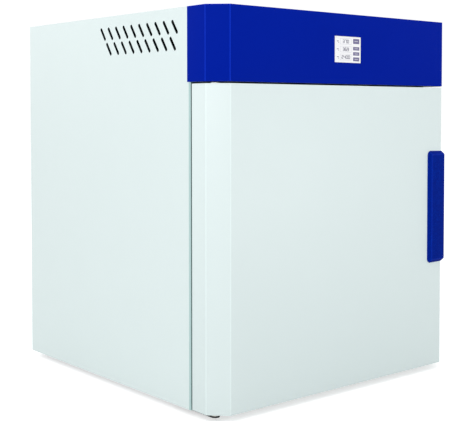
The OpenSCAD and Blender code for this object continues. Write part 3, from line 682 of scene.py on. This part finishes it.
def screw_tree():
    """Geometry nodes that set a pan-head screw with a cross recess and its shank on every point."""
    tree = bpy.data.node_groups.new("Pan-head screws", "GeometryNodeTree")
    tree.is_modifier = True
    tree.interface.new_socket(name="Places", in_out="INPUT", socket_type="NodeSocketGeometry")
    for name, kind, value in (
        ("Head Radius", "Float", 0.004), ("Head Height", "Float", 0.0016), ("Shank Radius", "Float", 0.002),
        ("Shank Length", "Float", 0.006), ("Sides", "Int", 20), ("Outward", "Vector", (0, 0, 1)),
        ("Finish", "Material", None),
    ):
        socket = tree.interface.new_socket(name=name, in_out="INPUT", socket_type="NodeSocket" + kind)
        if value is not None:
            socket.default_value = value
    tree.interface.new_socket(name="Screws", in_out="OUTPUT", socket_type="NodeSocketGeometry")
    sizes = tree.nodes.new("NodeGroupInput").outputs

    def vector(x, y, z):
        return add(tree, "ShaderNodeCombineXYZ", {0: x, 1: y, 2: z}).outputs[0]

    radius, height = sizes["Head Radius"], sizes["Head Height"]
    sunk = 0.3  # share of the head's height by which the ball under its dome is taller and lower
    recess_length, recess_width = 1.15, 0.24
    ball = add(tree, "GeometryNodeMeshUVSphere", {"Segments": sizes["Sides"], "Rings": 10, "Radius": 1.0})
    dome = add(tree, "GeometryNodeTransform", {
        "Geometry": ball.outputs[0], "Scale": vector(radius, radius, times(tree, height, 1 + sunk)),
        "Translation": vector(0.0, 0.0, times(tree, height, -sunk))})
    side = times(tree, radius, 3)
    under = add(tree, "GeometryNodeMeshCube", {"Size": vector(side, side, side)})
    under = add(tree, "GeometryNodeTransform", {
        "Geometry": under.outputs[0], "Translation": vector(0.0, 0.0, times(tree, side, -0.5))})
    cutters = [under.outputs[0]]
    for wide, deep in ((recess_length, recess_width), (recess_width, recess_length)):
        bar = add(tree, "GeometryNodeMeshCube", {
            "Size": vector(times(tree, radius, wide), times(tree, radius, deep), height)})
        bar = add(tree, "GeometryNodeTransform", {
            "Geometry": bar.outputs[0], "Translation": vector(0.0, 0.0, height)})
        cutters.append(bar.outputs[0])
    head = add(tree, "GeometryNodeMeshBoolean", {"Mesh 1": dome.outputs[0]},
               operation="DIFFERENCE", solver="EXACT")
    for cutter in cutters:
        tree.links.new(cutter, head.inputs["Mesh 2"])
    shank = add(tree, "GeometryNodeMeshCylinder", {
        "Vertices": 16, "Radius": sizes["Shank Radius"], "Depth": sizes["Shank Length"]})
    shank = add(tree, "GeometryNodeTransform", {
        "Geometry": shank.outputs[0],
        "Translation": vector(0.0, 0.0, times(tree, sizes["Shank Length"], -0.5))})
    screw = tree.nodes.new("GeometryNodeJoinGeometry")
    for part in (shank.outputs[0], head.outputs[0]):
        tree.links.new(part, screw.inputs[0])
    facing = add(tree, "FunctionNodeAlignRotationToVector", {"Vector": sizes["Outward"]}, axis="Z")
    placed = add(tree, "GeometryNodeInstanceOnPoints", {
        "Points": sizes["Places"], "Instance": screw.outputs[0], "Rotation": facing.outputs[0]})
    turn = add(tree, "FunctionNodeRandomValue", {"Seed": 7}, data_type="FLOAT")
    turn.inputs[2].default_value = 0.0
    turn.inputs[3].default_value = math.pi
    turned = add(tree, "GeometryNodeRotateInstances", {
        "Instances": placed.outputs[0], "Rotation": vector(0.0, 0.0, turn.outputs[1])})
    real = add(tree, "GeometryNodeRealizeInstances", {"Geometry": turned.outputs[0]})
    finished = add(tree, "GeometryNodeSetMaterial", {
        "Geometry": real.outputs[0], "Material": sizes["Finish"]})
    tree.links.new(finished.outputs[0], tree.nodes.new("NodeGroupOutput").inputs[0])
    return tree


def set_screws(name, places, outward, body, *replaced, radius, height, shank, finish="polished"):
    """A group of like screws as one plain mesh: the tree sets them, and its result is kept.

    The shank is its radius and its length.
    """
    tree = bpy.data.node_groups.get("Pan-head screws") or screw_tree()
    mesh = bpy.data.meshes.new(name)
    mesh.from_pydata([tuple(p) for p in places], [], [])
    piece = link(bpy.data.objects.new(name, mesh))
    modifier = piece.modifiers.new("Screws", "NODES")
    modifier.node_group = tree
    values = {
        "Head Radius": radius, "Head Height": height, "Shank Radius": shank[0], "Shank Length": shank[1],
        "Sides": bpy.context.scene.incubator_screws.sides, "Outward": outward, "Finish": finishes[finish],
    }
    for item in tree.interface.items_tree:
        if item.name in values:
            modifier[item.identifier] = values[item.name]
    evaluated(piece)
    smooth_by_angle(piece)
    return settle(piece, body, "plated_screws", *replaced)


def body_of_node(node):
    bodies = frame["record"]["behaviour"]["bodies"]
    return next(name for name, members in bodies.items() if node in members)


def dress(material, *nodes):
    """Gives CAD nodes that keep their own shape their finish."""
    for node in nodes:
        mesh = NODES[node].data
        mesh.materials.clear()
        mesh.materials.append(finishes[material])


# ---- operators ------------------------------------------------------------------------------


class IncubatorOperator:
    """What the operators have in common."""

    bl_options = {"REGISTER", "UNDO"}

    def execute(self, context):
        self.build(context.scene)
        return {"FINISHED"}


class INCUBATOR_OT_finishes(IncubatorOperator, bpy.types.Operator):
    """Make every paint, metal, plastic and glass finish"""

    bl_idname = "incubator.finishes"
    bl_label = "Finishes"

    def build(self, scene):
        make_finishes(scene.incubator_cabinet, scene.incubator_handle)


class INCUBATOR_OT_casing(IncubatorOperator, bpy.types.Operator):
    """Coat the folded sheet-steel casing and lay a strip of painted shade along the seam beside the door"""

    bl_idname = "incubator.casing"
    bl_label = "Casing"

    def build(self, scene):
        cabinet = scene.incubator_cabinet
        radius = cabinet.fold_radius
        thin_sheet = 0.4  # the fascia's folds are this much tighter
        for node in ("left_side_panel", "right_side_panel", "top_panel"):
            soft_copy(node, radius, "white_coat", "white_fold", "primer", ease=cabinet.slot_ease)
        soft_copy("face_frame", radius, "white_coat", "white_fold")
        soft_copy("fascia", radius * thin_sheet, "blue_coat", "blue_fold", "primer")
        dress("white_coat", "rear_panel")
        dress("zinc", "base_pan", "bulkhead", "electronics_tray")
        dress("wool", *("insulation_" + side for side in ("left", "right", "top", "bottom", "rear")))
        for place in ("front_left", "front_right", "rear_left", "rear_right"):
            soft_copy("foot_" + place, 0.6 * MM, "black_rubber", segments=2, sharp=15)
        dress("black_rubber", "rear_bumpers")
        self.edge_trim(cabinet.trim_reach)

    def edge_trim(self, reach):
        """Edging over the outer rim of the face frame that carries painted shade: a shaded pale rim and the
        dark painted shadow beside the door.
        """
        low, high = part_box("face_frame")
        lap, lip, thickness, corner, taper = 1.1 * MM, 1.6 * MM, 0.9 * MM, 0.5 * MM, 0.8 * MM
        gap, fit, clearance = 0.1 * MM, 0.05 * MM, 1.0 * MM
        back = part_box("left_side_panel")[0].y - gap
        front, seat = low.y - thickness, low.y - fit
        profile = [
            (0, back), (0, front + corner), (corner, front), (lip, front), (reach, front),
            (reach + taper, seat), (lap + fit, seat), (lap + fit, back),
        ]
        half = high.x + lap
        below_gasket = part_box("door_gasket")[0].z - low.z + lap - clearance
        bm = ring_sweep(profile, half, low.z - lap, high.z - gap, below_gasket)
        trim = mesh_piece("edge_trim", bm, "trim_lip", "cabinet", "grey_rubber")
        trim.data.materials.append(finishes["trim"])
        # Painted shade: faces near the outer lip take the shaded pale rim, the rest the dark painted shadow
        # of the seam.
        middle, half_height = (low.z + high.z) / 2, (high.z - low.z) / 2 + lap
        for polygon in trim.data.polygons:
            x, _, z = polygon.center
            inwards = min(half - abs(x), half_height - abs(z - middle))
            polygon.material_index = 1 if inwards > lip else 0


class INCUBATOR_OT_door(IncubatorOperator, bpy.types.Operator):
    """Finish the outer door, its inner panel, gasket and hinges"""

    bl_idname = "incubator.door"
    bl_label = "Outer door"

    def build(self, scene):
        radius = scene.incubator_cabinet.fold_radius
        soft_copy("door_skin", radius, "white_coat", "white_fold", "primer")
        soft_copy("door_inner_panel", radius, "white_coat", "white_fold")
        dress("wool", "door_insulation")
        self.gasket()
        dress("nylon", "hinge_bush_upper", "hinge_bush_lower")
        dress("black_coat", "hinge_plate_upper", "hinge_plate_lower")
        dress("zinc", "handle_plate")

    def gasket(self):
        """Foot, folded bellows and the hollow bulb with its magnet, mitred at the corners."""
        low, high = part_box("door_gasket")
        depth = high.y - low.y
        width = 18 * MM
        # One half of the section: millimetres inwards and share of the depth
        section = [(1.0, 0.0), (1.0, 0.16), (3.4, 0.2), (4.0, 0.28), (3.4, 0.36), (1.6, 0.4), (0.7, 0.5),
                   (0.4, 0.66), (0.6, 0.84), (1.5, 0.97), (3.0, 1.0), (7.4, 1.0), (8.2, 0.9), (9.0, 0.88)]
        half = [(x * MM, low.y + y * depth) for x, y in section]
        profile = half + [(width - x, y) for x, y in reversed(half[:-1])]
        bm = ring_sweep(profile, high.x, low.z, high.z)
        mesh_piece("door_gasket_profile", bm, "gasket", "door", "grey_rubber", "door_gasket")


class INCUBATOR_OT_handle(IncubatorOperator, bpy.types.Operator):
    """Finish the moulded wrap-around grip"""

    bl_idname = "incubator.handle"
    bl_label = "Handle"

    def build(self, scene):
        # The grip's rounded edges take a finish with a painted highlight.
        soft_copy("handle", scene.incubator_handle.edge_radius, "grip", "grip_edge", narrow=3 * MM)


class INCUBATOR_OT_chamber(IncubatorOperator, bpy.types.Operator):
    """Finish the stainless chamber, its duct, fan, heater and shelves"""

    bl_idname = "incubator.chamber"
    bl_label = "Chamber"

    def build(self, scene):
        dress("stainless", "chamber_liner", "chamber_back", "duct_cover", "uprights_left", "uprights_right",
              "runners_lower", "runners_upper", "temperature_probe")
        dress("polished", "shelf_lower", "shelf_upper")
        dress("heater", "heater_ring")
        dress("aluminium", "fan_impeller")
        dress("zinc", "motor_bracket")
        dress("black_plastic", "fan_motor")


class INCUBATOR_OT_glass_door(IncubatorOperator, bpy.types.Operator):
    """Finish the inner glass door with its hinge, knob and seal"""

    bl_idname = "incubator.glass_door"
    bl_label = "Glass door"

    def build(self, scene):
        pane = soft_copy("glass_pane", 0.8 * MM, "glass", "glass_edge")
        for polygon in pane.data.polygons:
            if abs(polygon.normal.y) < 0.5:
                polygon.material_index = FOLD_FINISH
        dress("stainless", "glass_straps", "glass_brackets")
        soft_copy("glass_knob", 0.6 * MM, "black_plastic", sharp=15)
        dress("silicone", "glass_seal")


class INCUBATOR_OT_screws(IncubatorOperator, bpy.types.Operator):
    """Set the screws of the casing, the grip, the mains inlet, the duct cover and the hinges"""

    bl_idname = "incubator.screws"
    bl_label = "Screws"

    def build(self, scene):
        head, height = scene.incubator_screws.head_radius, scene.incubator_screws.head_height
        self.casing(head, height)
        self.grip()
        self.inlet()
        self.duct_cover()
        self.hinges()
        self.brackets()

    def casing(self, head, height):
        """The two rows down the rear panel."""
        low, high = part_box("casing_screws")
        inset = 4.0 * MM
        rows = 6
        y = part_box("rear_panel")[1].y
        step = (high.z - low.z - 2 * inset) / (rows - 1)
        places = [(x, y, low.z + inset + i * step)
                  for x in (low.x + inset, high.x - inset) for i in range(rows)]
        set_screws("casing_screws_cross", places, (0, 1, 0), "cabinet", "casing_screws",
                   radius=head, height=height, shank=(1.95 * MM, 6 * MM))

    def grip(self):
        """Three screws that hold the moulding to the plate inside the door."""
        low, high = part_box("handle_screws")
        height = 2.2 * MM
        radius = 4.0 * MM
        y = (low.y + high.y) / 2
        places = [(high.x - height, y, z) for z in (low.z + radius, (low.z + high.z) / 2, high.z - radius)]
        set_screws("grip_screws_cross", places, (1, 0, 0), "door", "handle_screws",
                   radius=radius, height=height, shank=(2 * MM, 7.5 * MM))

    def inlet(self):
        """Two small screws through the flange of the mains inlet."""
        low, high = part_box("power_inlet")
        middle = (low + high) / 2
        reach = 20 * MM
        places = [(middle.x + side * reach, high.y, middle.z) for side in (-1, 1)]
        set_screws("inlet_screws", places, (0, 1, 0), "cabinet",
                   radius=2.8 * MM, height=1.1 * MM, shank=(1.6 * MM, 3 * MM))

    def duct_cover(self):
        """Four screws at the corners of the duct cover."""
        low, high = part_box("duct_cover")
        reach = 205 * MM
        z = (low.z + high.z) / 2
        places = [(sx * reach, low.y, z + sz * reach) for sx in (-1, 1) for sz in (-1, 1)]
        set_screws("duct_cover_screws", places, (0, -1, 0), "cabinet",
                   radius=4.2 * MM, height=1.7 * MM, shank=(2.0 * MM, 5 * MM))

    def hinges(self):
        """Two screws through each hinge plate's flat end."""
        inset, pitch, plate_thickness = 14 * MM, 30 * MM, 3 * MM
        for node, outward in (("hinge_plate_upper", 1), ("hinge_plate_lower", -1)):
            low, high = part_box(node)
            z = low.z if outward < 0 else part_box("electronics_tray")[1].z + plate_thickness
            places = [(high.x - inset, high.y - inset - i * pitch, z) for i in range(2)]
            set_screws(node + "_screws", places, (0, 0, outward), "cabinet",
                       radius=4 * MM, height=1.6 * MM, shank=(2 * MM, 2.8 * MM), finish="black_coat")

    def brackets(self):
        """Two small screws through each bracket of the glass door."""
        low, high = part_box("glass_brackets")
        middle = (low.x + high.x) / 2
        reach, inset, thickness = 9 * MM, 4 * MM, 2 * MM
        places = [(middle + side * reach, high.y - thickness, z)
                  for side in (-1, 1) for z in (low.z + inset, high.z - inset)]
        set_screws("bracket_screws", places, (0, -1, 0), "cabinet",
                   radius=2.0 * MM, height=0.9 * MM, shank=(1 * MM, 1.5 * MM))


# Bars of a seven-bar figure: middle across and up in half-widths and half-heights, and whether it lies flat
BARS = {"top": (0, 1, True), "middle": (0, 0, True), "bottom": (0, -1, True), "upper_left": (-1, 0.5, False),
        "upper_right": (1, 0.5, False), "lower_left": (-1, -0.5, False), "lower_right": (1, -0.5, False)}
# The bars that stay dark in each figure
UNLIT = {
    "0": ("middle",), "1": ("top", "middle", "bottom", "upper_left", "lower_left"),
    "2": ("upper_left", "lower_right"), "3": ("upper_left", "lower_left"),
    "4": ("top", "bottom", "lower_left"), "5": ("upper_right", "lower_left"), "6": ("upper_right",),
    "7": ("middle", "bottom", "upper_left", "lower_left"), "8": (), "9": ("lower_left",),
}


class INCUBATOR_OT_controls(IncubatorOperator, bpy.types.Operator):
    """Finish the display, boards, supply and rear fittings"""

    bl_idname = "incubator.controls"
    bl_label = "Controls"

    def build(self, scene):
        dress("screen", "display_glass")
        self.display(scene.incubator_display)
        dress("board", "display_module", "control_board")
        dress("zinc", "power_supply")
        dress("aluminium", "solid_state_relay")
        dress("grey_plastic", "terminal_block")
        dress("brass", "inlet_pins")
        for node in ("power_inlet", "switch_housing", "power_rocker"):
            soft_copy(node, 0.5 * MM, "black_plastic", narrow=1 * MM, segments=2)
        self.rocker_marks()

    def rocker_marks(self):
        """A bar for on and a ring for off, printed on the rocker's two faces."""
        ink = 0.12 * MM
        outer, inner = 2.0 * MM, 1.45 * MM
        bar_width, bar_height = 0.7 * MM, 3.6 * MM
        rear = [face for face in NODES["power_rocker"].data.polygons if face.normal.y > 0.9]
        bm = bmesh.new()
        for lower in (True, False):
            faces = [face for face in rear if (face.normal.z > 0) == lower]
            area = sum(face.area for face in faces)
            centre = sum((face.center * face.area for face in faces), Vector()) / area
            normal = faces[0].normal
            before = set(bm.verts)
            if lower:
                ring(bm, outer, inner, ink)
            else:
                plate(bm, (0, 0, 0), (bar_width, ink, bar_height))
            turn = Matrix(((1, 0, 0), (0, normal.y, -normal.z), (0, normal.z, normal.y))).to_4x4()
            new = list(set(bm.verts) - before)
            bmesh.ops.transform(bm, matrix=Matrix.Translation(centre) @ turn, verts=new)
        mesh_piece("rocker_marks", bm, "nylon", "rocker", slot_of_node("hinge_bush_upper"))

    def display(self, settings):
        """Three rows of a short label and a boxed value, with a column of keys on the right."""
        low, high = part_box("display_glass")
        self.low, self.size = low, high - low
        self.depth = settings.ink_height
        fields, ink, keys = bmesh.new(), bmesh.new(), bmesh.new()
        value_column, key_column = 0.42, 0.825
        rows = ((0.81, settings.set_value), (0.51, settings.measured), (0.21, settings.timer))
        for up, value in rows:
            self.mark(ink, 0.115, up, 0.07, 0.022)  # the label
            self.mark(ink, 0.145, up - 0.05, 0.03, 0.018)  # the unit under it
            self.outline(fields, value_column, up, 0.42, 0.22)
            self.number(ink, value_column, up, value)
        for up, tall in ((0.83, 0.19), (0.55, 0.13), (0.35, 0.13), (0.14, 0.15)):
            self.mark(keys, key_column, up, 0.24, tall, rounding=0.08)
            self.mark(fields, key_column, up, 0.13, 0.022, layer=2)
        for name, bm, material in (
            ("display_fields", fields, "screen_field"), ("display_figures", ink, "screen_ink"),
            ("display_keys", keys, "screen_key"),
        ):
            mesh_piece(name, bm, material, "cabinet", "display", smooth=False)

    def mark(self, bm, across, up, wide, tall, rounding=0.0, layer=1):
        """A plate on the display; places and sizes are shares of the display's own."""
        y = self.low.y - self.depth * (layer - 0.5)
        centre = (self.low.x + across * self.size.x, y, self.low.z + up * self.size.z)
        width, height = wide * self.size.x, tall * self.size.z
        plate(bm, centre, (width, self.depth, height), rounding * height)

    def outline(self, bm, across, up, wide, tall):
        """The thin outline of a value box."""
        line = 0.012
        for side in (-1, 1):
            self.mark(bm, across, up + side * tall / 2, wide + line, line)
            self.mark(bm, across + side * wide / 2, up, line * 0.7, tall)

    def number(self, bm, across, up, value):
        """A row of seven-bar figures, with a dot where the value has a point."""
        wide, tall, line = 0.055, 0.115, 0.014
        pitch = 0.085
        figures = [c for c in value if c in UNLIT]
        place = across - pitch * (len(figures) - 1) / 2
        for c in value:
            if c not in UNLIT:
                self.mark(bm, place - pitch / 2, up - tall / 2, line, line * 1.3)
                continue
            for name, (x, z, flat) in BARS.items():
                if name not in UNLIT[c]:
                    size = (wide, line * 1.3) if flat else (line, tall / 2)
                    self.mark(bm, place + x * wide / 2, up + z * tall / 2, *size)
            place += pitch


class INCUBATOR_OT_stage(IncubatorOperator, bpy.types.Operator):
    """Set the floor, the lights and the camera"""

    bl_idname = "incubator.stage"
    bl_label = "Stage"

    def build(self, scene):
        settings = scene.incubator_stage
        self.floor()
        self.world(scene, settings.sky)
        low, high = CAD_BOX
        middle = (low + high) / 2
        # Name, place, width in metres and share of the key light's power
        lights = (
            ("Key", (-2.9, -1.4, 2.1), 2.0, 1.0),
            ("Fill", (1.0, -2.2, 0.25), 1.5, 0.25),
            ("Top", (0.2, 0.3, 3.0), 2.4, 0.3),
            ("Back", (-0.8, 2.9, 1.6), 2.0, 0.4),
        )
        for name, place, size, share in lights:
            self.lamp(name, Vector(place), middle, size, settings.key_power * share)
        self.camera(scene, settings)
        scene.view_settings.view_transform = "Standard"

    def floor(self):
        """A pale floor that melts into the backdrop but throws little light back."""
        reach = 12.0
        glow = 0.6
        bm = bmesh.new()
        bmesh.ops.create_grid(bm, x_segments=1, y_segments=1, size=reach)
        mesh = bpy.data.meshes.new("Floor")
        bm.to_mesh(mesh)
        bm.free()
        floor = link(bpy.data.objects.new("Floor", mesh))
        material = bpy.data.materials.new("Pale floor")
        material.use_nodes = True
        tree = material.node_tree
        shader = tree.nodes["Principled BSDF"]
        shader.inputs["Base Color"].default_value = (0.68, 0.69, 0.69, 1)
        shader.inputs["Roughness"].default_value = 0.9
        shader.inputs["Specular IOR Level"].default_value = 0.0
        shader.inputs["Emission Color"].default_value = (1.0, 1.0, 1.0, 1)
        self.light(tree, shader.inputs["Emission Strength"], 0.0, glow)
        mesh.materials.append(material)

    def world(self, scene, strength):
        """A white backdrop that lights the object a little less than it looks."""
        look = 1.03
        world = bpy.data.worlds.new("Pale surroundings")
        world.use_nodes = True
        tree = world.node_tree
        background = tree.nodes["Background"]
        background.inputs["Color"].default_value = (1.0, 1.0, 1.0, 1)
        self.light(tree, background.inputs["Strength"], strength, look)
        scene.world = world

    def light(self, tree, socket, given, seen):
        """Leads one strength to the light that a surface gives and another to what the camera sees."""
        camera_ray = tree.nodes.new("ShaderNodeLightPath").outputs["Is Camera Ray"]
        tree.links.new(spread(tree, camera_ray, 0.0, 1.0, given, seen), socket)

    def lamp(self, name, place, target, size, power):
        """A round area light turned to the target."""
        data = bpy.data.lights.new(name, "AREA")
        data.shape = "DISK"
        data.size = size
        data.energy = power
        lamp = link(bpy.data.objects.new(name, data))
        self.aim(lamp, place, target - place)

    def aim(self, thing, place, ahead):
        """Puts a lamp or a camera at a place, looking ahead with its top up."""
        turn = ahead.to_track_quat("-Z", "Y").to_matrix().to_4x4()
        thing.matrix_world = Matrix.Translation(place) @ turn

    def camera(self, scene, settings):
        """The camera where the settings place it."""
        data = bpy.data.cameras.new("Camera")
        data.lens = settings.lens
        data.sensor_width = 36.0
        data.shift_y = settings.rise
        data.clip_end = 50
        camera = link(bpy.data.objects.new("Camera", data))
        heading, level = settings.heading, math.cos(settings.dip)
        ahead = (math.sin(heading) * level, math.cos(heading) * level, -math.sin(settings.dip))
        self.aim(camera, settings.eye, Vector(ahead))
        scene.camera = camera


class INCUBATOR_PT_panel(bpy.types.Panel):
    """Lists the incubator's pieces and settings"""

    bl_idname = "INCUBATOR_PT_panel"
    bl_label = "Incubator"
    bl_space_type = "VIEW_3D"
    bl_region_type = "UI"
    bl_category = "Incubator"

    def draw(self, context):
        for operator in OPERATORS:
            self.layout.operator(operator.bl_idname)
        for attribute, group in SETTINGS:
            box = self.layout.box()
            for name in group.__annotations__:
                box.prop(getattr(context.scene, attribute), name)


OPERATORS = (
    INCUBATOR_OT_finishes,
    INCUBATOR_OT_stage,
    INCUBATOR_OT_casing,
    INCUBATOR_OT_door,
    INCUBATOR_OT_handle,
    INCUBATOR_OT_chamber,
    INCUBATOR_OT_glass_door,
    INCUBATOR_OT_controls,
    INCUBATOR_OT_screws,
)


def register():
    for _, group in SETTINGS:
        bpy.utils.register_class(group)
    for attribute, group in SETTINGS:
        setattr(bpy.types.Scene, attribute, PointerProperty(type=group))
    for cls in (*OPERATORS, INCUBATOR_PT_panel):
        bpy.utils.register_class(cls)


def unregister():
    for cls in reversed((*OPERATORS, INCUBATOR_PT_panel)):
        bpy.utils.unregister_class(cls)
    for attribute, group in SETTINGS:
        delattr(bpy.types.Scene, attribute)
        bpy.utils.unregister_class(group)


def main():
    """Registers the add-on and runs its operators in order."""
    register()
    for operator in OPERATORS:
        family, name = operator.bl_idname.split(".")
        getattr(getattr(bpy.ops, family), name)()


if __name__ == "__main__":
    main()
